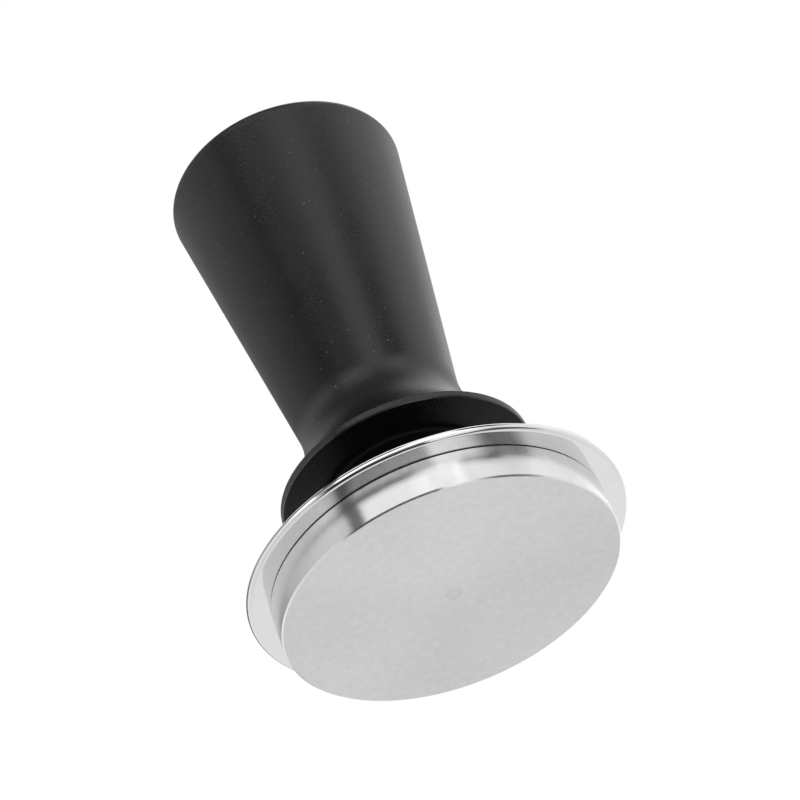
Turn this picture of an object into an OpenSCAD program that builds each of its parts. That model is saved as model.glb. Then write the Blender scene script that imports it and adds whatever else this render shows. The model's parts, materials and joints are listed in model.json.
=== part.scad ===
// Spring-loaded espresso tamper with a levelling plate.
// Millimetres, +Z up, origin at the centre of the tamping face.
// The base, shaft and piston are one rigid group. The levelling plate slides
// up the shaft against a light spring and turns on it. The handle slides down
// over the piston against the main spring and turns on it.

/* [Tamping base] */
// Diameter of the tamping base
base_d = 58.35; // [57.8:0.05:58.8]
// Height of the tamping base
base_h = 6.3; // [5.8:0.05:6.5]
// Chamfer on the lower edge of the tamping base
base_chamfer = 0.25; // [0.1:0.05:0.5]
// Chamfer on the upper edge of the tamping base
base_top_chamfer = 0.1; // [0.05:0.05:0.5]
// Thickness of the shim that holds the plate off the base
shim_t = 0.1; // [0.1:0.05:0.4]

/* [Levelling plate] */
// Diameter of the levelling plate
plate_d = 66; // [64:0.5:70]
// Thickness of the levelling plate
plate_t = 1.05; // [1.05:0.05:1.6]
// Radius of the rounded lower edge of the plate
plate_round = 0.9; // [0.4:0.1:0.9]
// How far the plate lifts from rest
plate_travel = 7; // [6:0.5:7]

/* [Handle] */
// Height of the handle's top above the tamping face
handle_top_z = 97.6; // [94:0.2:102]
// Diameter of the handle at its top
handle_top_d = 44.5; // [42:0.1:48]
// Diameter of the handle's cone where it would reach the flare
handle_waist_d = 25; // [25:0.2:28]
// Radius of the rounded top edge of the handle
handle_round = 1.5; // [0.5:0.1:3]
// Diameter of the flare at the foot of the handle
flare_d = 44.5; // [42:0.5:48]
// Height of the flare's underside above the tamping face
flare_z = 23.25; // [22.8:0.05:24]
// Thickness of the flare at its rim
rim_t = 1.4; // [1:0.1:2]
// Radius of the hollow curve from the cone out to the rim of the flare
flare_curve = 17; // [15:0.5:20]
// How far the handle presses down from rest
press_travel = 5.8; // [5:0.1:5.8]

/* [Plunger] */
// Diameter of the plunger shaft
shaft_d = 10; // [9:0.1:10]
// Diameter of the piston head
piston_d = 19.9; // [19.6:0.1:19.9]
// Length of the shaft's stud in the base
stud_l = 4.6; // [4:0.1:4.6]

/* [Springs] */
// Wire diameter of the main spring
main_wire_d = 2.2; // [1.8:0.1:2.2]
// Coil diameter of the main spring, at the middle of its wire
main_coil_d = 16; // [15.8:0.1:16.2]
// Working turns of the main spring
main_turns = 8; // [6:1:9]
// Wire diameter of the levelling spring
light_wire_d = 0.7; // [0.5:0.1:0.7]
// Coil diameter of the levelling spring, at the middle of its wire
light_coil_d = 12.3; // [12.2:0.1:12.4]
// Working turns of the levelling spring
light_turns = 6; // [5:1:7]

/* [Hidden] */

// Facets of a round piece
round_fn = 96;
// Gap between two faces that turn or slide on each other
face_gap = 0.05;
// Radial clearance of a running fit
running_gap = 0.05;
// Radial clearance of a screwed or pushed-in piece
seat_gap = 0.05;
// Depth that a cutting shape runs past the face that it cuts
past = 1;

// Base and shim
base_r = base_d / 2;
base_top = base_h;
shim_r = 9.2;
shaft_foot = base_top + shim_t;
stud_r = 3.95;
stud_hole_depth = stud_l + 0.25;

// Plate and the sleeve that carries it
plate_r = plate_d / 2;
plate_z = shaft_foot + face_gap;
plate_top = plate_z + plate_t;
plate_bore_r = 8;
flange_r = 14;
flange_t = 1.5;
flange_top = plate_top + flange_t;
sleeve_r = 8.6;
sleeve_bore_r = 7.3;
sleeve_top = flange_top + 14.3;
sleeve_foot = plate_z + 0.15;
sleeve_bush_r = 6.5;
bush_step = plate_z + 5.75;
bush_flange_r = 7.1;
bush_flange_t = 0.8;
bush_top = bush_step + bush_flange_t;

// Three countersunk screws through the plate into the sleeve's flange
screw_count = 3;
screw_circle_r = 11.3;
screw_r = 0.95;
screw_head_r = 1.85;
screw_head_t = 0.8;

// Shaft, its clip and the seat of the levelling spring
shaft_r = shaft_d / 2;
shaft_bore_r = shaft_r + running_gap;
light_washer_t = 0.5;
light_spring_foot = bush_top + face_gap + light_washer_t;
seat_washer_z = plate_top + 21.5;
seat_washer_t = 0.6;
seat_washer_r = 6.95;
clip_z = seat_washer_z + seat_washer_t + face_gap;
clip_t = 0.6;
clip_r = 7;
groove_r = shaft_r - 0.7;
clip_opening = 5.4;

// Collar screwed into the foot of the handle
lip_t = 0.75;
lip_z = flare_z - lip_t;
lip_r = 15.2;
collar_r = 10.95;
collar_bush_r = 6.5;
collar_bush_flange_r = 7.8;
collar_bush_flange_t = 0.8;
recess_r = 8.9;
// Height left over the sleeve when the plate is lifted and the handle pressed
recess_spare = 1.8;
recess_top = sleeve_top + plate_travel + press_travel + recess_spare + collar_bush_flange_t;
collar_top = recess_top + 5;
spanner_hole_r = 1;
spanner_circle_r = 13.1;
damper_t = 0.85;
damper_z = collar_top + face_gap;
damper_top = damper_z + damper_t;

// Piston on the top of the shaft
piston_r = piston_d / 2;
piston_z = damper_top + face_gap + 0.05;
piston_t = 5;
piston_top = piston_z + piston_t;
spigot_r = 3.5;
spigot_l = 3.8;
cap_screw_r = 1.95;
cap_screw_head_r = 3.5;
cap_screw_head_t = 4;
cap_screw_reach = 8.5;
lock_washer_t = 0.9;
lock_washer_r = 3.3;
cap_screw_seat = piston_top + lock_washer_t;

// Handle
handle_top_r = handle_top_d / 2;
waist_r = handle_waist_d / 2;
flare_r = flare_d / 2;
rim_top = flare_z + rim_t;
rim_chamfer = 0.2;
lean = atan((handle_top_r - waist_r) / (handle_top_z - rim_top));
thread_bore_r = collar_r + seat_gap;
thread_bore_top = collar_top + 0.1;
bore_r = 10.1;
bore_end = handle_top_z - 9.4;
top_washer_t = 1;
top_washer_z = bore_end - face_gap - top_washer_t;

// Centre of the hollow curve, which touches the cone and ends at the rim's
// top edge: its distance outside that edge if it were level with it, then
// the height that puts the edge on the curve
curve_end_r = flare_r - rim_chamfer;
curve_out = waist_r + flare_curve / cos(lean) - curve_end_r;
curve_up = (sqrt(pow(flare_curve / cos(lean), 2) - pow(curve_out, 2)) - curve_out * tan(lean))
    * pow(cos(lean), 2);
curve_r = curve_end_r + curve_out + curve_up * tan(lean);
curve_z = rim_top + curve_up;
// Height of the point where the cone meets the hollow curve
curve_start_z = curve_z + flare_curve * sin(lean);
// Centre of the rounded top edge, which touches the cone and the top
top_round_r = handle_top_r - handle_round * (tan(lean) + 1 / cos(lean));
top_round_z = handle_top_z - handle_round;

// Radius of the handle's cone at height z
function cone_r(z) = waist_r + (z - rim_top) * tan(lean);

// A washer or tube from height z0 to z1
module ring(r_in, r_out, z0, z1) {
    rotate_extrude($fn = round_fn)
        translate([r_in, z0]) square([r_out - r_in, z1 - z0]);
}

// A solid cylinder from height z0 to z1
module rod(r, z0, z1) {
    translate([0, 0, z0]) cylinder(r = r, h = z1 - z0, $fn = round_fn);
}

// Copies its children to count places on a circle
module around(count, circle_r) {
    for (i = [0:count - 1])
        rotate([0, 0, i * 360 / count]) translate([circle_r, 0, 0]) children();
}

// Height of a spring's wire centre after some turns: a closed turn at each
// end and evenly open turns between them
function coil_z(turn, foot, wire_r, closed, open, turns) =
    foot + wire_r + closed * min(turn, 1) + open * min(max(turn - 1, 0), turns)
    + closed * max(turn - 1 - turns, 0);

// A compression spring from height foot to head
module coil_spring(coil_r, wire_r, foot, head, turns, steps, sides) {
    closed = 2.1 * wire_r;
    open = (head - foot - 2 * wire_r - 2 * closed) / turns;
    last = (turns + 2) * steps;
    points = [
        for (i = [0:last], j = [0:sides - 1])
            let (turn = i / steps,
                 q = 360 * (j + 0.5) / sides,
                 r = coil_r + wire_r * cos(q),
                 z = coil_z(turn, foot, wire_r, closed, open, turns))
            [r * cos(360 * turn), r * sin(360 * turn), z + wire_r * sin(q)]
    ];
    skin = [
        for (i = [0:last - 1], j = [0:sides - 1], half = [0, 1])
            let (k = (j + 1) % sides, a = i * sides, b = a + sides)
            half == 0 ? [a + j, a + k, b + j] : [a + k, b + k, b + j]
    ];
    caps = [
        [for (j = [sides - 1:-1:0]) j],
        [for (j = [0:sides - 1]) last * sides + j]
    ];
    polyhedron(points = points, faces = concat(skin, caps), convexity = 10);
}

module tamping_base() {
    color("lightgray") difference() {
        rotate_extrude($fn = round_fn) polygon([
            [0, 0],
            [base_r - base_chamfer, 0],
            [base_r, base_chamfer],
            [base_r, base_top - base_top_chamfer],
            [base_r - base_top_chamfer, base_top],
            [0, base_top]
        ]);
        rod(stud_r + seat_gap, base_top - stud_hole_depth, base_top + past);
    }
}

module base_shim() {
    color("gainsboro") ring(stud_r + 0.15, shim_r, base_top, shaft_foot);
}

module plunger_shaft() {
    color("silver") difference() {
        union() {
            rod(stud_r, shaft_foot - stud_l, shaft_foot);
            rod(shaft_r, shaft_foot, piston_z);
            rod(spigot_r, piston_z, piston_z + spigot_l);
        }
        ring(groove_r, shaft_r + past, clip_z - face_gap, clip_z + clip_t + face_gap);
        rod(cap_screw_r + seat_gap, cap_screw_seat - cap_screw_reach - 1, piston_top);
    }
}

// Open spring clip in the shaft's groove
module retaining_clip() {
    color("dimgray") difference() {
        ring(groove_r + seat_gap, clip_r, clip_z, clip_z + clip_t);
        translate([0, -clip_opening / 2, clip_z - past])
            cube([clip_r + past, clip_opening, clip_t + 2 * past]);
    }
}

// Upper seat of the levelling spring, held down by nothing but that spring
module spring_seat_washer() {
    color("silver")
        ring(shaft_r + seat_gap, seat_washer_r, seat_washer_z, seat_washer_z + seat_washer_t);
}

module piston_head() {
    edge = 0.4;
    color("slategray") difference() {
        rotate_extrude($fn = round_fn) polygon([
            [0, piston_z],
            [piston_r - edge, piston_z],
            [piston_r, piston_z + edge],
            [piston_r, piston_top - edge],
            [piston_r - edge, piston_top],
            [0, piston_top]
        ]);
        rod(spigot_r + seat_gap, piston_z - past, piston_z + spigot_l + 0.1);
        rod(cap_screw_r + 0.15, piston_z, piston_top + past);
    }
}

// Split lock washer under the cap screw's head
module piston_lock_washer() {
    split = 0.5;
    color("darkgray") difference() {
        ring(cap_screw_r + 0.15, lock_washer_r, piston_top, cap_screw_seat);
        translate([0, -split / 2, piston_top - past])
            cube([lock_washer_r + past, split, lock_washer_t + 2 * past]);
    }
}

// Socket-head cap screw that holds the piston head on the shaft
module piston_screw() {
    socket_r = 1.73;
    socket_depth = 2.2;
    head_top = cap_screw_seat + cap_screw_head_t;
    color("dimgray") difference() {
        union() {
            rod(cap_screw_r, cap_screw_seat - cap_screw_reach, cap_screw_seat);
            rod(cap_screw_head_r, cap_screw_seat, head_top);
        }
        translate([0, 0, head_top - socket_depth])
            cylinder(r = socket_r, h = socket_depth + past, $fn = 6);
    }
}

module main_spring() {
    color("darkgray") coil_spring(
        main_coil_d / 2, main_wire_d / 2, piston_top + face_gap,
        top_washer_z - face_gap, main_turns, 16, 8);
}

module leveller_spring() {
    color("darkgray") coil_spring(
        light_coil_d / 2, light_wire_d / 2, light_spring_foot + face_gap,
        seat_washer_z - face_gap, light_turns, 14, 6);
}

// Lower seat of the levelling spring, which the plate turns under
module leveller_thrust_washer() {
    color("silver") ring(shaft_bore_r, seat_washer_r, bush_top + face_gap, light_spring_foot);
}

// One countersunk opening through the plate, wide end down
module plate_screw_hole() {
    translate([0, 0, plate_z - past]) cylinder(r = screw_r + 0.15, h = plate_t + 2 * past, $fn = 32);
    translate([0, 0, plate_z])
        cylinder(r1 = screw_head_r + 0.1, r2 = screw_r + 0.1, h = screw_head_t, $fn = 32);
}

// Thin ring with a rounded lower rim that stops on the basket's rim
module levelling_plate() {
    top_edge = 0.05;
    color("whitesmoke") difference() {
        rotate_extrude($fn = round_fn) {
            polygon([
                [plate_bore_r, plate_z],
                [plate_r - plate_round, plate_z],
                [plate_r - plate_round, plate_z + plate_round],
                [plate_r, plate_z + plate_round],
                [plate_r, plate_top - top_edge],
                [plate_r - top_edge, plate_top],
                [plate_bore_r, plate_top]
            ]);
            translate([plate_r - plate_round, plate_z + plate_round]) intersection() {
                circle(r = plate_round, $fn = 48);
                translate([-0.01, -plate_round]) square(plate_round + 0.01);
            }
        }
        around(screw_count, screw_circle_r) plate_screw_hole();
    }
}

// Flanged tube that carries the plate and houses the levelling spring
module leveller_sleeve() {
    edge = 0.3;
    color("#1c1c1e") difference() {
        rotate_extrude($fn = round_fn) polygon([
            [sleeve_bush_r, sleeve_foot],
            [plate_bore_r - seat_gap, sleeve_foot],
            [plate_bore_r - seat_gap, plate_top],
            [flange_r, plate_top],
            [flange_r, flange_top - edge],
            [flange_r - edge, flange_top],
            [sleeve_r, flange_top],
            [sleeve_r, sleeve_top - edge],
            [sleeve_r - edge, sleeve_top],
            [sleeve_bore_r, sleeve_top],
            [sleeve_bore_r, bush_step],
            [sleeve_bush_r, bush_step]
        ]);
        around(screw_count, screw_circle_r)
            rod(screw_r + seat_gap, plate_top - past, flange_top + past);
    }
}

// Plain bearing of the sleeve on the shaft
module sleeve_bush() {
    color("ivory") rotate_extrude($fn = round_fn) polygon([
        [shaft_bore_r, sleeve_foot + face_gap],
        [sleeve_bush_r - seat_gap, sleeve_foot + face_gap],
        [sleeve_bush_r - seat_gap, bush_step],
        [bush_flange_r, bush_step],
        [bush_flange_r, bush_top],
        [shaft_bore_r, bush_top]
    ]);
}

// Three countersunk screws, heads down, flush with the plate's underside
module plate_screws() {
    head_z = plate_z + face_gap;
    color("dimgray") around(screw_count, screw_circle_r) difference() {
        union() {
            rod(screw_r, head_z, flange_top - 0.1);
            translate([0, 0, head_z])
                cylinder(r1 = screw_head_r, r2 = screw_r, h = screw_head_t, $fn = 32);
        }
        translate([0, 0, head_z - past])
            cylinder(r = 0.75, h = past + 0.6, $fn = 6);
    }
}

// Washer between the main spring and the end of the handle's bore
module top_thrust_washer() {
    color("silver") ring(4.5, bore_r - 0.3, top_washer_z, top_washer_z + top_washer_t);
}

// Section of the handle's outside, from the axis outwards
module handle_section() {
    difference() {
        union() {
            polygon([
                [0, flare_z],
                [flare_r - rim_chamfer, flare_z],
                [flare_r, flare_z + rim_chamfer],
                [flare_r, rim_top - rim_chamfer],
                [curve_end_r, rim_top],
                [cone_r(curve_start_z), curve_start_z],
                [top_round_r + handle_round * cos(lean), top_round_z - handle_round * sin(lean)],
                [top_round_r, top_round_z],
                [top_round_r, handle_top_z],
                [0, handle_top_z]
            ]);
            translate([top_round_r, top_round_z]) circle(r = handle_round, $fn = 64);
        }
        translate([curve_r, curve_z]) circle(r = flare_curve, $fn = 256);
    }
}

module handle() {
    mouth = 0.4;
    color("#26282a") difference() {
        rotate_extrude($fn = round_fn) handle_section();
        rod(thread_bore_r, flare_z - past, thread_bore_top);
        translate([0, 0, flare_z - 0.01])
            cylinder(r1 = thread_bore_r + mouth, r2 = thread_bore_r, h = mouth, $fn = round_fn);
        rod(bore_r, thread_bore_top - 0.1, bore_end);
    }
}

// Threaded guide that closes the handle's foot and keeps the piston in
module guide_collar() {
    edge = 0.2;
    color("#202022") difference() {
        rotate_extrude($fn = round_fn) polygon([
            [recess_r, lip_z],
            [lip_r - edge, lip_z],
            [lip_r, lip_z + edge],
            [lip_r, flare_z],
            [collar_r, flare_z],
            [collar_r, collar_top],
            [collar_bush_r, collar_top],
            [collar_bush_r, recess_top],
            [recess_r, recess_top]
        ]);
        around(4, spanner_circle_r) rod(spanner_hole_r, lip_z - past, flare_z + past);
    }
}

// Plain bearing of the collar on the shaft
module collar_bush() {
    color("ivory") rotate_extrude($fn = round_fn) polygon([
        [shaft_bore_r, recess_top - collar_bush_flange_t],
        [collar_bush_flange_r, recess_top - collar_bush_flange_t],
        [collar_bush_flange_r, recess_top],
        [collar_bush_r - seat_gap, recess_top],
        [collar_bush_r - seat_gap, collar_top],
        [shaft_bore_r, collar_top]
    ]);
}

// Rubber ring that the piston head comes to rest on
module damper_ring() {
    color("#303030") ring(5.6, bore_r - 0.5, damper_z, damper_top);
}

tamping_base();
base_shim();
plunger_shaft();
retaining_clip();
spring_seat_washer();
piston_head();
piston_lock_washer();
piston_screw();
main_spring();
leveller_spring();
leveller_thrust_washer();
levelling_plate();
leveller_sleeve();
sleeve_bush();
plate_screws();
top_thrust_washer();
handle();
guide_collar();
collar_bush();
damper_ring();
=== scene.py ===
"""Espresso tamper: the looks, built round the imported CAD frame. Metres, the same frame as the CAD."""

import json
import math

import bpy
import bmesh
from mathutils import Matrix, Vector


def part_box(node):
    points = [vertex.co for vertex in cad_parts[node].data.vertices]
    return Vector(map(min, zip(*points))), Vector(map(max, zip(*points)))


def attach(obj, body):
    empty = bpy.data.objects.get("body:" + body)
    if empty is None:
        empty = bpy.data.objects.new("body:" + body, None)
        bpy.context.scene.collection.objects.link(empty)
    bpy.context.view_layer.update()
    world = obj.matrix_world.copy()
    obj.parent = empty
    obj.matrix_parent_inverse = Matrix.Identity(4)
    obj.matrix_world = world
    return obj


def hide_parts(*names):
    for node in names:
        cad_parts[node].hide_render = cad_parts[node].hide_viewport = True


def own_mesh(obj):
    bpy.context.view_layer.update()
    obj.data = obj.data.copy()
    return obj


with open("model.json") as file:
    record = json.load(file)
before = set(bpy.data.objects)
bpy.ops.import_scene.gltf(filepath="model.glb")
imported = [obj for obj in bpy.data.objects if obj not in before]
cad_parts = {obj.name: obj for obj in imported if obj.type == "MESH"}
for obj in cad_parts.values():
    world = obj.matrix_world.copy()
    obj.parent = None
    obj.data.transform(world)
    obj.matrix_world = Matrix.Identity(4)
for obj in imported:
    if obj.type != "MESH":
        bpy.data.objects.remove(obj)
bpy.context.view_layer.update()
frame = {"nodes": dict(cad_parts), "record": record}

MM = 0.001
TURN = 2 * math.pi

# Places read from the frame
base_low, base_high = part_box("tamping_base")
plate_low, plate_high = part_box("levelling_plate")
handle_low, handle_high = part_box("handle")
sleeve_low, sleeve_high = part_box("leveller_sleeve")
collar_low, collar_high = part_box("guide_collar")
main_low, main_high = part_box("main_spring")
light_low, light_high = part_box("leveller_spring")

BASE_R, BASE_H = base_high.x, base_high.z
PLATE_R, PLATE_Z, PLATE_TOP = plate_high.x, plate_low.z, plate_high.z
FLARE_R, FLARE_Z, HANDLE_TOP = handle_high.x, handle_low.z, handle_high.z

# ---------------------------------------------------------------- camera
# The eye is below the tamper and looks up at its tamping face, with the picture rolled to the side.
EYE_ELEVATION = math.radians(-37.4)
EYE_ROLL = math.radians(22.95)
EYE_DISTANCE = 0.3907
FOCAL_MM, SENSOR_MM = 108.0, 36.0
# Where the tamping face's centre sits from the line of sight: to the right, and down
FACE_RIGHT, FACE_DOWN = 0.0088, 0.03156


def make_camera():
    forward = Vector((0, math.cos(EYE_ELEVATION), -math.sin(EYE_ELEVATION)))
    level_up = Vector((0, math.sin(EYE_ELEVATION), math.cos(EYE_ELEVATION)))
    level_right = Vector((1, 0, 0))
    right = math.cos(EYE_ROLL) * level_right - math.sin(EYE_ROLL) * level_up
    up = math.sin(EYE_ROLL) * level_right + math.cos(EYE_ROLL) * level_up
    place = -(right * FACE_RIGHT - up * FACE_DOWN + forward * EYE_DISTANCE)
    data = bpy.data.cameras.new("camera")
    data.lens, data.sensor_width = FOCAL_MM, SENSOR_MM
    data.clip_start, data.clip_end = 0.01, 20
    camera = bpy.data.objects.new("camera", data)
    camera.matrix_world = Matrix((
        (right.x, up.x, -forward.x, place.x),
        (right.y, up.y, -forward.y, place.y),
        (right.z, up.z, -forward.z, place.z),
        (0, 0, 0, 1)))
    bpy.context.scene.collection.objects.link(camera)
    bpy.context.scene.camera = camera


make_camera()


# ---------------------------------------------------------------- node helpers
class Shader:
    """A material's node tree, with short calls for the nodes that the materials use."""

    def __init__(self, name):
        self.material = bpy.data.materials.new(name)
        self.material.use_nodes = True
        self.tree = self.material.node_tree
        self.nodes, self.links = self.tree.nodes, self.tree.links
        self.surface = self.nodes["Principled BSDF"]
        self.place = self.nodes.new("ShaderNodeTexCoord").outputs["Object"]

    def add(self, kind, inputs=(), **settings):
        made = self.nodes.new(kind)
        for key, value in settings.items():
            setattr(made, key, value)
        for key, value in dict(inputs).items():
            self.put(made.inputs[key], value)
        return made

    def put(self, socket, value):
        if isinstance(value, bpy.types.NodeSocket):
            self.links.new(value, socket)
        else:
            socket.default_value = value

    def set(self, **values):
        for key, value in values.items():
            self.put(self.surface.inputs[key.replace("_", " ")], value)

    def math(self, operation, a, b=0.0):
        made = self.add("ShaderNodeMath", operation=operation)
        self.put(made.inputs[0], a)
        self.put(made.inputs[1], b)
        return made.outputs[0]

    def noise(self, scale, detail, roughness, vector=None):
        made = self.add("ShaderNodeTexNoise", {"Scale": scale, "Detail": detail, "Roughness": roughness})
        self.put(made.inputs["Vector"], vector or self.place)
        return made.outputs["Fac"]

    def spread(self, value, low, high, to_low, to_high):
        """value from low to high, spread over to_low to to_high and held there outside."""
        made = self.add("ShaderNodeMapRange", {
            "Value": value, "From Min": low, "From Max": high, "To Min": to_low, "To Max": to_high})
        return made.outputs[0]

    def mix(self, share, a, b):
        made = self.add("ShaderNodeMix", data_type="RGBA")
        self.put(made.inputs[0], share)
        self.put(made.inputs[6], a)
        self.put(made.inputs[7], b)
        return made.outputs[2]

    def bump(self, height, distance, strength):
        made = self.add("ShaderNodeBump", {"Height": height, "Distance": distance, "Strength": strength})
        return made.outputs[0]

    def round_place(self):
        """Distance from the axis, turn about it and height, in metres and radians."""
        split = self.add("ShaderNodeSeparateXYZ", {"Vector": self.place})
        x, y, z = split.outputs
        squares = self.math("ADD", self.math("MULTIPLY", x, x), self.math("MULTIPLY", y, y))
        return self.math("SQRT", squares), self.math("ARCTAN2", y, x), z

    def stretched_noise(self, detail, *stretches):
        """Noise over two or three (value, times) pairs, given in turn: rings, grooves and streaks."""
        made = self.add("ShaderNodeCombineXYZ")
        for socket, value, times in zip(made.inputs, stretches[::2], stretches[1::2]):
            self.put(socket, self.math("MULTIPLY", value, times))
        return self.noise(1.0, detail, 0.7, made.outputs[0])


def grey(value):
    return (value, value, value, 1.0)


# ---------------------------------------------------------------- materials
def black_anodised(name, colour, roughness, gloss=0.5, dust=0.0):
    """Bead-blasted black anodised aluminium: a fine even grain, faint cloudy wear, a few specks of dust."""
    s = Shader(name)
    cloud = s.noise(90.0, 5.0, 0.6)
    grain = s.noise(2600.0, 3.0, 0.65)
    specks = s.noise(2600.0, 1.0, 0.4)
    base = s.mix(s.spread(cloud, 0.3, 0.7, 0.0, 1.0), grey(colour * 0.85), grey(colour * 1.2))
    speck = s.spread(specks, 0.775 - dust, 0.81 - dust, 0.0, 1.0)
    s.set(Base_Color=s.mix(speck, base, grey(0.22)),
          Roughness=s.math("ADD", s.spread(cloud, 0.3, 0.7, roughness - 0.03, roughness + 0.03),
                           s.spread(grain, 0.3, 0.7, -0.03, 0.03)),
          Specular_IOR_Level=gloss,
          Normal=s.bump(grain, 0.00004, 0.9))
    return s.material


def turned_face_steel(name, colour, roughness):
    """Steel faced on a lathe and then dulled: fine rings, cloudy handling marks, a small centre mark."""
    s = Shader(name)
    reach, turn, z = s.round_place()
    rings = s.stretched_noise(3.0, reach, 9000.0, turn, 0.6, z, 9000.0)
    cloud = s.noise(70.0, 6.0, 0.65)
    blot = s.noise(700.0, 5.0, 0.7)
    rubbed = s.noise(260.0, 6.0, 0.75)
    wide = s.noise(22.0, 2.0, 0.5)
    tone = s.math("ADD", s.spread(cloud, 0.3, 0.7, -0.02, 0.02), s.spread(blot, 0.3, 0.7, -0.035, 0.035))
    tone = s.math("ADD", tone, s.spread(wide, 0.35, 0.65, -0.035, 0.025))
    tone = s.math("ADD", tone, s.spread(rings, 0.3, 0.7, -0.012, 0.012))
    tone = s.math("ADD", tone, s.spread(rubbed, 0.60, 0.72, 0.0, -0.05))
    # The faint ring that facing leaves at the centre, and small pits round it
    uneven_reach = s.math("ADD", reach, s.spread(blot, 0.3, 0.7, -0.3 * MM, 0.3 * MM))
    from_ring = s.math("ABSOLUTE", s.math("SUBTRACT", uneven_reach, 1.1 * MM))
    tone = s.math("ADD", tone, s.spread(from_ring, 0.1 * MM, 0.7 * MM, -0.05, 0.0))
    pits = s.spread(s.noise(1500.0, 2.0, 0.6), 0.68, 0.76, 0.0, -0.12)
    tone = s.math("ADD", tone, s.math("MULTIPLY", pits, s.spread(reach, 0.002, 0.016, 1.0, 0.25)))
    shade = s.math("ADD", tone, colour)
    s.set(Base_Color=s.mix(shade, grey(0.0), grey(1.0)),
          Metallic=1.0,
          Roughness=s.math("ADD", s.spread(cloud, 0.3, 0.7, roughness - 0.05, roughness + 0.05),
                           s.spread(rings, 0.3, 0.7, -0.04, 0.04)),
          Normal=s.bump(rings, 0.00002, 0.35))
    return s.material


def turned_side_steel(name, colour, roughness, stretch):
    """Steel turned on its side: grooves round it blur what it mirrors up and down but not sideways."""
    s = Shader(name)
    reach, turn, z = s.round_place()
    cloud = s.noise(140.0, 5.0, 0.65)
    streak = s.stretched_noise(4.0, turn, 26.0, z, 320.0)
    grooves = s.stretched_noise(3.0, turn, 0.8, z, 9000.0)
    tone = s.math("ADD", s.spread(cloud, 0.3, 0.7, -0.02, 0.02), s.spread(streak, 0.3, 0.7, -0.03, 0.03))
    tone = s.math("ADD", tone, s.spread(grooves, 0.3, 0.7, -0.02, 0.02))
    s.set(Base_Color=s.mix(s.math("ADD", tone, colour), grey(0.0), grey(1.0)),
          Metallic=1.0,
          Roughness=s.spread(streak, 0.3, 0.7, roughness - 0.015, roughness + 0.015),
          Anisotropic=stretch, Anisotropic_Rotation=0.25,
          Tangent=s.add("ShaderNodeTangent", direction_type="RADIAL", axis="Z").outputs[0],
          Normal=s.bump(grooves, 0.00001, 0.1))
    return s.material


def polished_steel(name, colour, roughness, uneven):
    """Polished stainless steel with the faint rings of the lathe and light handling marks."""
    s = Shader(name)
    reach, turn, z = s.round_place()
    rings = s.stretched_noise(3.0, reach, 7000.0, turn, 0.8, z, 7000.0)
    cloud = s.noise(110.0, 5.0, 0.6)
    change = roughness * uneven
    s.set(Base_Color=s.mix(s.spread(cloud, 0.3, 0.7, 0.0, 1.0), grey(colour * 0.95), grey(colour)),
          Metallic=1.0,
          Roughness=s.math("ADD", s.spread(cloud, 0.35, 0.65, roughness - change, roughness + change),
                           s.spread(rings, 0.3, 0.7, 0.0, change)),
          Normal=s.bump(rings, 0.00001, 0.2))
    return s.material


def plain_metal(name, colour, roughness, grain_size=1500.0):
    """Machined or drawn steel of a hidden piece: fine grain and slight change of tone."""
    s = Shader(name)
    cloud = s.noise(200.0, 4.0, 0.6)
    grain = s.noise(grain_size, 3.0, 0.6)
    s.set(Base_Color=s.mix(s.spread(cloud, 0.3, 0.7, 0.0, 1.0), grey(colour * 0.8), grey(colour)),
          Metallic=1.0,
          Roughness=s.spread(cloud, 0.3, 0.7, roughness * 0.8, roughness * 1.2),
          Normal=s.bump(grain, 0.00002, 0.3))
    return s.material


def moulded(name, colour, roughness):
    """Acetal or rubber: an even colour with a fine moulded grain."""
    s = Shader(name)
    cloud = s.noise(300.0, 4.0, 0.6)
    grain = s.noise(3000.0, 3.0, 0.6)
    dark = tuple(c * 0.85 for c in colour) + (1.0,)
    s.set(Base_Color=s.mix(s.spread(cloud, 0.3, 0.7, 0.0, 1.0), dark, tuple(colour) + (1.0,)),
          Roughness=s.spread(grain, 0.3, 0.7, roughness - 0.05, roughness + 0.05),
          Normal=s.bump(grain, 0.00002, 0.3))
    return s.material


MATERIALS = {
    "handle_anodised": black_anodised("handle_anodised", 0.004, 0.29, 0.48),
    "black_anodised": black_anodised("black_anodised", 0.004, 0.36, 0.1, -0.1),
    "base_steel": turned_face_steel("base_steel", 0.62, 0.42),
    "plate_steel": polished_steel("plate_steel", 0.74, 0.04, 0.3),
    "shaft_steel": plain_metal("shaft_steel", 0.6, 0.25),
    "washer_steel": plain_metal("washer_steel", 0.55, 0.3),
    "spring_steel": plain_metal("spring_steel", 0.4, 0.3, 3000.0),
    "screw_steel": plain_metal("screw_steel", 0.2, 0.35),
    "bush_plastic": moulded("bush_plastic", (0.75, 0.72, 0.64), 0.45),
    "damper_rubber": moulded("damper_rubber", (0.03, 0.03, 0.03), 0.7),
}
PLATE_TOP_STEEL = polished_steel("plate_top_steel", 0.72, 0.30, 0.05)
SIDE_STEEL = turned_side_steel("base_side_steel", 0.78, 0.20, 0.97)
# The flare's underside: the handle's own anodised black, made darker and less glossy as painted shade under
# the flare
UNDER_BLACK_PAINTED_SHADE = black_anodised("flare_under_painted_shade", 0.003, 0.30, 0.2, -0.1)
# The rim's lower chamfer: the same anodised black made lighter and glossier, a painted highlight line along
# the rim
EDGE_BLACK_PAINTED_HIGHLIGHT = black_anodised("flare_edge_painted_highlight", 0.010, 0.20, 0.8, -0.1)


# ---------------------------------------------------------------- mesh helpers
TINY = 1e-7
SHARP_BEND = math.radians(12)
# How far along a side a softened corner may reach
LONGEST_CUT = 0.45
# Faces that meet at less than this are shaded as one smooth surface
SMOOTH_UNDER = math.radians(35)
# How close to a flat a face's centre has to be to count as part of it
FLAT_SLACK = 0.01 * MM


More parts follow.
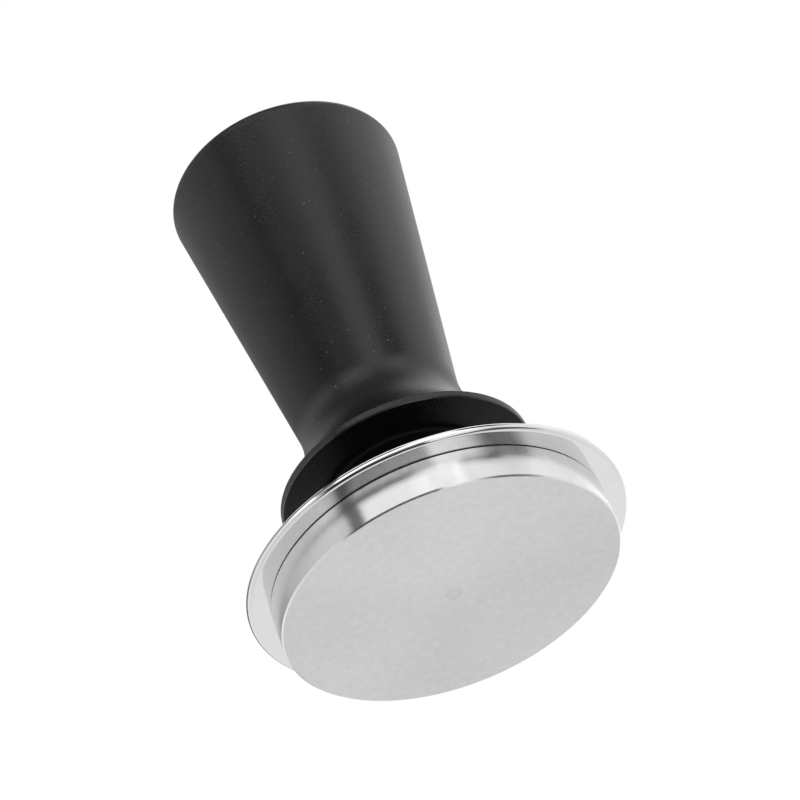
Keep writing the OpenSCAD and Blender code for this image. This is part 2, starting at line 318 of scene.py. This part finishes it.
def new_piece(name, mesh, body, slot, node):
    piece = bpy.data.objects.new(name, mesh)
    bpy.context.scene.collection.objects.link(piece)
    piece.data.materials.append(MATERIALS[slot])
    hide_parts(node)
    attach(piece, body)
    return piece


def arc(centre, radius, start, end, count):
    """Points on an arc of an outline, from angle start to end, in degrees."""
    steps = [math.radians(start + (end - start) * i / count) for i in range(count + 1)]
    return [(centre[0] + radius * math.cos(a), centre[1] + radius * math.sin(a)) for a in steps]


def softened(outline, radius, count=4):
    """A closed outline whose sharp corners are rounded by small curves, as a machined edge is broken."""
    points, size = [], len(outline)
    for i in range(size):
        here = Vector(outline[i])
        back = Vector(outline[i - 1]) - here
        on = Vector(outline[(i + 1) % size]) - here
        if back.length < TINY or on.length < TINY:
            continue
        bend = math.pi - back.angle(on)
        if bend < SHARP_BEND:
            points.append(tuple(here))
            continue
        reach = min(radius * math.tan(bend / 2), LONGEST_CUT * back.length, LONGEST_CUT * on.length)
        start, end = here + back.normalized() * reach, here + on.normalized() * reach
        for k in range(count + 1):
            t = k / count
            points.append(tuple((1 - t) ** 2 * start + 2 * t * (1 - t) * here + t * t * end))
    return points


def lathe(name, outline, segments=288):
    """A closed outline of (radius, height) points turned about the Z axis."""
    mesh = bpy.data.meshes.new(name)
    bm = bmesh.new()
    rings = []
    for radius, height in outline:
        if radius < TINY:
            rings.append([bm.verts.new((0, 0, height))])
            continue
        rings.append([bm.verts.new((radius * math.cos(TURN * i / segments),
                                    radius * math.sin(TURN * i / segments), height))
                      for i in range(segments)])
    for a, b in zip(rings, rings[1:] + rings[:1]):
        for i in range(segments):
            k = (i + 1) % segments
            if len(a) == 1 and len(b) == 1:
                break
            if len(a) == 1:
                bm.faces.new((a[0], b[k], b[i]))
            elif len(b) == 1:
                bm.faces.new((a[i], a[k], b[0]))
            else:
                bm.faces.new((a[i], a[k], b[k], b[i]))
    bmesh.ops.recalc_face_normals(bm, faces=bm.faces)
    for face in bm.faces:
        face.smooth = True
    for edge in bm.edges:
        if len(edge.link_faces) == 2 and edge.calc_face_angle() > SMOOTH_UNDER:
            edge.smooth = False
    bm.to_mesh(mesh)
    bm.free()
    return mesh


def graded(start, end, count):
    """Points between two outline points, closer together near both ends."""
    shares = [0.5 - 0.5 * math.cos(math.pi * i / count) for i in range(count + 1)]
    return [(start[0] + (end[0] - start[0]) * t, start[1] + (end[1] - start[1]) * t) for t in shares]


# ---------------------------------------------------------------- the pieces that show
def make_base():
    chamfer, top_chamfer = 0.25 * MM, 0.1 * MM
    stud_r, stud_floor = 4.0 * MM, BASE_H - 4.85 * MM
    outline = [
        (0, 0), (BASE_R - chamfer, 0), (BASE_R, chamfer), (BASE_R, BASE_H - top_chamfer),
        (BASE_R - top_chamfer, BASE_H), (stud_r, BASE_H), (stud_r, stud_floor), (0, stud_floor)]
    mesh = lathe("tamping_base_turned", outline)
    piece = new_piece("tamping_base_turned", mesh, "base", "base_steel", "tamping_base")
    piece.data.materials.append(SIDE_STEEL)
    for face in mesh.polygons:
        reach = math.hypot(face.center.x, face.center.y)
        if reach > BASE_R - chamfer * 0.9 or face.center.z > BASE_H - top_chamfer:
            face.material_index = 1


def make_plate():
    round_r, top_edge = 0.9 * MM, 0.05 * MM
    bore_r = 8.0 * MM
    outline = ([(bore_r, PLATE_Z)]
               + arc((PLATE_R - round_r, PLATE_Z + round_r), round_r, -90, 0, 14)
               + [(PLATE_R, PLATE_TOP - top_edge), (PLATE_R - top_edge, PLATE_TOP), (bore_r, PLATE_TOP)])
    mesh = lathe("levelling_plate_polished", outline)
    piece = new_piece("levelling_plate_polished", mesh, "leveller", "plate_steel", "levelling_plate")
    piece.data.materials.append(PLATE_TOP_STEEL)
    for face in mesh.polygons:
        if face.center.z > PLATE_TOP - FLAT_SLACK:
            face.material_index = 1


def make_sleeve():
    edge, flange_r, flange_t = 0.3 * MM, 14.0 * MM, 1.5 * MM
    tube_r, bore_r, bush_r, spigot_r = 8.6 * MM, 7.3 * MM, 6.5 * MM, 7.95 * MM
    bush_step = PLATE_Z + 5.75 * MM
    foot, top = sleeve_low.z, sleeve_high.z
    flange_top = PLATE_TOP + flange_t
    outline = [
        (bush_r, foot), (spigot_r, foot), (spigot_r, PLATE_TOP), (flange_r, PLATE_TOP),
        (flange_r, flange_top - edge), (flange_r - edge, flange_top), (tube_r, flange_top),
        (tube_r, top - edge), (tube_r - edge, top), (bore_r, top), (bore_r, bush_step),
        (bush_r, bush_step)]
    mesh = lathe("leveller_sleeve_turned", softened(outline, 0.08 * MM), 192)
    new_piece("leveller_sleeve_turned", mesh, "leveller", "black_anodised", "leveller_sleeve")


def make_collar():
    edge = 0.2 * MM
    recess_r, body_r, bush_r = 8.9 * MM, 10.95 * MM, 6.5 * MM
    lip_r = collar_high.x
    low, top = collar_low.z, collar_high.z
    recess_top = low + 16.2 * MM
    outline = [
        (recess_r, low), (lip_r - edge, low), (lip_r, low + edge), (lip_r, FLARE_Z), (body_r, FLARE_Z),
        (body_r, top), (bush_r, top), (bush_r, recess_top), (recess_r, recess_top)]
    mesh = lathe("guide_collar_turned", softened(outline, 0.06 * MM), 192)
    new_piece("guide_collar_turned", mesh, "handle", "black_anodised", "guide_collar")


def make_handle():
    top_r, waist_r = 22.25 * MM, 12.5 * MM
    round_r, curve = 1.5 * MM, 17.0 * MM
    rim_top, rim_edge = FLARE_Z + 1.4 * MM, 0.2 * MM
    thread_r, thread_top = 11.0 * MM, collar_high.z + 0.1 * MM
    bore_r, bore_end = 10.1 * MM, HANDLE_TOP - 9.4 * MM
    mouth = 0.4 * MM
    lean = math.atan((top_r - waist_r) / (HANDLE_TOP - rim_top))
    tilt, slant = math.tan(lean), math.cos(lean)
    # The hollow curve touches the cone and ends at the rim's top edge
    curve_end = FLARE_R - rim_edge
    out = waist_r + curve / slant - curve_end
    up = (math.sqrt((curve / slant) ** 2 - out ** 2) - out * tilt) * slant ** 2
    curve_c = (curve_end + out + up * tilt, rim_top + up)
    foot_angle = math.degrees(math.atan2(rim_top - curve_c[1], curve_end - curve_c[0]))
    hollow = arc(curve_c, curve, foot_angle + 360, 180 - math.degrees(lean), 40)
    round_c = (top_r - round_r * (tilt + 1 / slant), HANDLE_TOP - round_r)
    crown = arc(round_c, round_r, -math.degrees(lean), 90, 16)
    outline = (
        [(thread_r + mouth, FLARE_Z), (FLARE_R - rim_edge, FLARE_Z), (FLARE_R, FLARE_Z + rim_edge),
         (FLARE_R, rim_top - rim_edge)]
        + hollow + graded(hollow[-1], crown[0], 12)[1:-1] + crown
        + [(0, HANDLE_TOP), (0, bore_end), (bore_r, bore_end), (bore_r, thread_top),
           (thread_r, thread_top), (thread_r, FLARE_Z + mouth)])
    mesh = lathe("handle_turned", outline)
    piece = new_piece("handle_turned", mesh, "handle", "handle_anodised", "handle")
    piece.data.materials.append(UNDER_BLACK_PAINTED_SHADE)
    piece.data.materials.append(EDGE_BLACK_PAINTED_HIGHLIGHT)
    for face in mesh.polygons:
        # The underside takes the copy of the anodised black that is darkened with painted shade
        if face.center.z < FLARE_Z + FLAT_SLACK:
            face.material_index = 1
        # The rim's lower chamfer takes the lighter copy of the anodised black, a painted highlight
        elif face.center.z < FLARE_Z + rim_edge:
            face.material_index = 2


def make_spring(name, node, wire_r, coil_r, turns, low, high, steps=40, sides=16):
    """A closed-end compression spring coiled from height low to high, fixed on the base body."""
    mesh = bpy.data.meshes.new(name)
    bm = bmesh.new()
    # The first and the last turn lie nearly flat against the next one
    closed = 2.1 * wire_r
    opened = (high - low - 2 * wire_r - 2 * closed) / turns
    rings = []
    for i in range((turns + 2) * steps + 1):
        turn = i / steps
        height = (low + wire_r + closed * min(turn, 1) + opened * min(max(turn - 1, 0), turns)
                  + closed * max(turn - 1 - turns, 0))
        ring = []
        for j in range(sides):
            q = TURN * (j + 0.5) / sides
            r = coil_r + wire_r * math.cos(q)
            ring.append(bm.verts.new((r * math.cos(TURN * turn), r * math.sin(TURN * turn),
                                      height + wire_r * math.sin(q))))
        rings.append(ring)
    for a, b in zip(rings, rings[1:]):
        for j in range(sides):
            k = (j + 1) % sides
            bm.faces.new((a[j], a[k], b[k], b[j]))
    bm.faces.new(rings[0])
    bm.faces.new(list(reversed(rings[-1])))
    bmesh.ops.recalc_face_normals(bm, faces=bm.faces)
    for face in bm.faces:
        face.smooth = len(face.verts) == 4
    bm.to_mesh(mesh)
    bm.free()
    piece = new_piece(name, mesh, "base", "spring_steel", node)
    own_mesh(piece)


make_base()
make_plate()
make_sleeve()
make_collar()
make_handle()
make_spring("main_spring_wire", "main_spring",
            wire_r=1.1 * MM, coil_r=8.0 * MM, turns=8, low=main_low.z, high=main_high.z)
make_spring("leveller_spring_wire", "leveller_spring",
            wire_r=0.35 * MM, coil_r=6.15 * MM, turns=6, low=light_low.z, high=light_high.z)

# Every other CAD node keeps its own mesh and takes its slot's material
for part in frame["record"]["subparts"]:
    carried = frame["nodes"][part["node"]]
    carried.data.materials.clear()
    carried.data.materials.append(MATERIALS[part["material_slot"]])


# ---------------------------------------------------------------- studio
def make_floor():
    """A pale floor, which fades to the white room far away and lets the view from below through."""
    size, depth = 6.0, -0.02 * MM
    mesh = bpy.data.meshes.new("floor")
    corners = [(-size, -size, depth), (size, -size, depth), (size, size, depth), (-size, size, depth)]
    mesh.from_pydata(corners, [], [(0, 1, 2, 3)])
    floor = bpy.data.objects.new("floor", mesh)
    bpy.context.scene.collection.objects.link(floor)
    s = Shader("floor_pale")
    fade_from, fade_to = 0.25, 1.6
    near_colour, near_glow = 0.78, 0.36
    far = s.spread(s.round_place()[0], fade_from, fade_to, 0.0, 1.0)
    s.set(Base_Color=s.mix(far, grey(near_colour), grey(0.0)), Roughness=0.9, Specular_IOR_Level=0.1,
          Emission_Color=grey(1.0), Emission_Strength=s.spread(far, 0.0, 1.0, near_glow, BACKGROUND_LEVEL))
    clear = s.nodes.new("ShaderNodeBsdfTransparent")
    choose = s.nodes.new("ShaderNodeMixShader")
    s.links.new(s.nodes.new("ShaderNodeNewGeometry").outputs["Backfacing"], choose.inputs[0])
    s.links.new(s.surface.outputs[0], choose.inputs[1])
    s.links.new(clear.outputs[0], choose.inputs[2])
    s.links.new(choose.outputs[0], s.nodes["Material Output"].inputs["Surface"])
    mesh.materials.append(s.material)
    floor.visible_diffuse = floor.visible_glossy = floor.visible_shadow = False


# Brightness of the studio by direction, as (degrees round the object, level): 0 is the side that the
# tamping face is seen from, 90 is +X. The bands are LOW, what lies below the object; MIDDLE, which is
# level with it; WALLS, just above; HIGH, a ring of soft lights; and UPPER, the rest up to the ceiling.
LOW = [
    (-180, 1.0), (-60, 0.75), (-49, 0.7), (-45, 0.05), (-20, 0.12), (18, 0.3), (24, 1.1), (50, 1.0),
    (60, 0.12), (84, 0.05), (92, 0.85), (180, 1.0)]
MIDDLE = [
    (-180, 1.0), (-70, 1.0), (-50, 2.0), (-46, 0.5), (-36, 0.5), (-32, 2.0), (28, 2.0), (50, 1.0),
    (180, 1.0)]
WALLS = [
    (-180, 0.5), (-160, 0.05), (-128, 0.25), (-100, 0.45), (-60, 0.2), (-20, 0.03), (2, 0.08), (12, 1.3),
    (32, 1.3), (38, 0.02), (56, 0.02), (66, 0.85), (85, 1.3), (115, 1.15), (150, 1.9), (180, 0.5)]
HIGH = [
    (-180, 0.3), (-120, 0.5), (-64, 1.2), (-47, 1.3), (-45, 0.12), (-36, 0.12), (-34, 2.1), (4, 2.1),
    (16, 0.9), (28, 0.9), (44, 2.1), (60, 2.0), (72, 0.9), (110, 0.8), (180, 0.6)]
UPPER = [(-180, 0.5), (-110, 0.4), (-80, 0.2), (60, 0.25), (100, 1.2), (170, 1.3), (180, 0.5)]
BACKGROUND_LEVEL = 1.0
# Heights between which one band changes to the next, on a sphere of radius 1
LOW_TO_MIDDLE = (-0.45, -0.40)
MIDDLE_TO_WALLS = (0.12, 0.20)
WALLS_TO_HIGH = (0.52, 0.58)
HIGH_TO_UPPER = (0.70, 0.76)
# A dark card below, a little towards the viewed side: its edges along X and Y on the same sphere
CARD_LEVEL = 0.03
CARD_X, CARD_Y = (-0.54, 0.22), (-0.62, -0.12)
CARD_EDGE, CARD_TOP = 0.05, -0.5


def make_world():
    """A white room to look at, lit as a studio by rings of soft lights and darker stretches of wall."""
    world = bpy.data.worlds.new("studio")
    bpy.context.scene.world = world
    world.use_nodes = True
    nodes, links = world.node_tree.nodes, world.node_tree.links
    place = nodes.new("ShaderNodeTexCoord")
    split = nodes.new("ShaderNodeSeparateXYZ")
    links.new(place.outputs["Generated"], split.inputs[0])

    def calc(operation, a, b=0.0, c=0.0):
        made = nodes.new("ShaderNodeMath")
        made.operation = operation
        for socket, value in zip(made.inputs, (a, b, c)):
            if isinstance(value, bpy.types.NodeSocket):
                links.new(value, socket)
            else:
                socket.default_value = value
        return made.outputs[0]

    def blend(share, a, b):
        return calc("ADD", calc("MULTIPLY", a, calc("SUBTRACT", 1.0, share)), calc("MULTIPLY", b, share))

    x, y, z = split.outputs
    share_round = calc("MULTIPLY_ADD", calc("ARCTAN2", x, calc("MULTIPLY", y, -1.0)), 1 / TURN, 0.5)

    def ring(levels):
        made = nodes.new("ShaderNodeValToRGB")
        stops = made.color_ramp.elements
        while len(stops) < len(levels):
            stops.new(0.5)
        brightest = max(level for _, level in levels)
        for stop, (angle, level) in zip(stops, levels):
            stop.position = (angle + 180) / 360
            stop.color = grey(level / brightest)
        links.new(share_round, made.inputs[0])
        return calc("MULTIPLY", made.outputs[0], brightest)

    def change(heights, below, above):
        made = nodes.new("ShaderNodeMapRange")
        made.interpolation_type = "SMOOTHSTEP"
        links.new(z, made.inputs["Value"])
        made.inputs["From Min"].default_value, made.inputs["From Max"].default_value = heights
        share = made.outputs[0]
        return blend(share, below, above)

    studio = change(LOW_TO_MIDDLE, ring(LOW), ring(MIDDLE))
    studio = change(MIDDLE_TO_WALLS, studio, ring(WALLS))
    studio = change(WALLS_TO_HIGH, studio, ring(HIGH))
    studio = change(HIGH_TO_UPPER, studio, ring(UPPER))

    def within(value, limits):
        def rise(edge, way):
            made = nodes.new("ShaderNodeMapRange")
            links.new(calc("MULTIPLY", value, way), made.inputs["Value"])
            made.inputs["From Min"].default_value = edge * way - CARD_EDGE / 2
            made.inputs["From Max"].default_value = edge * way + CARD_EDGE / 2
            return made.outputs[0]
        return calc("MULTIPLY", rise(limits[0], 1.0), rise(limits[1], -1.0))

    card = calc("MULTIPLY", within(x, CARD_X), within(y, CARD_Y))
    card = calc("MULTIPLY", card, calc("LESS_THAN", z, CARD_TOP))
    studio = blend(card, studio, CARD_LEVEL)
    strength = blend(nodes.new("ShaderNodeLightPath").outputs["Is Camera Ray"], studio, BACKGROUND_LEVEL)
    nodes["Background"].inputs["Color"].default_value = grey(1.0)
    links.new(strength, nodes["Background"].inputs["Strength"])


make_floor()
make_world()
bpy.context.scene.view_settings.view_transform = "Standard"
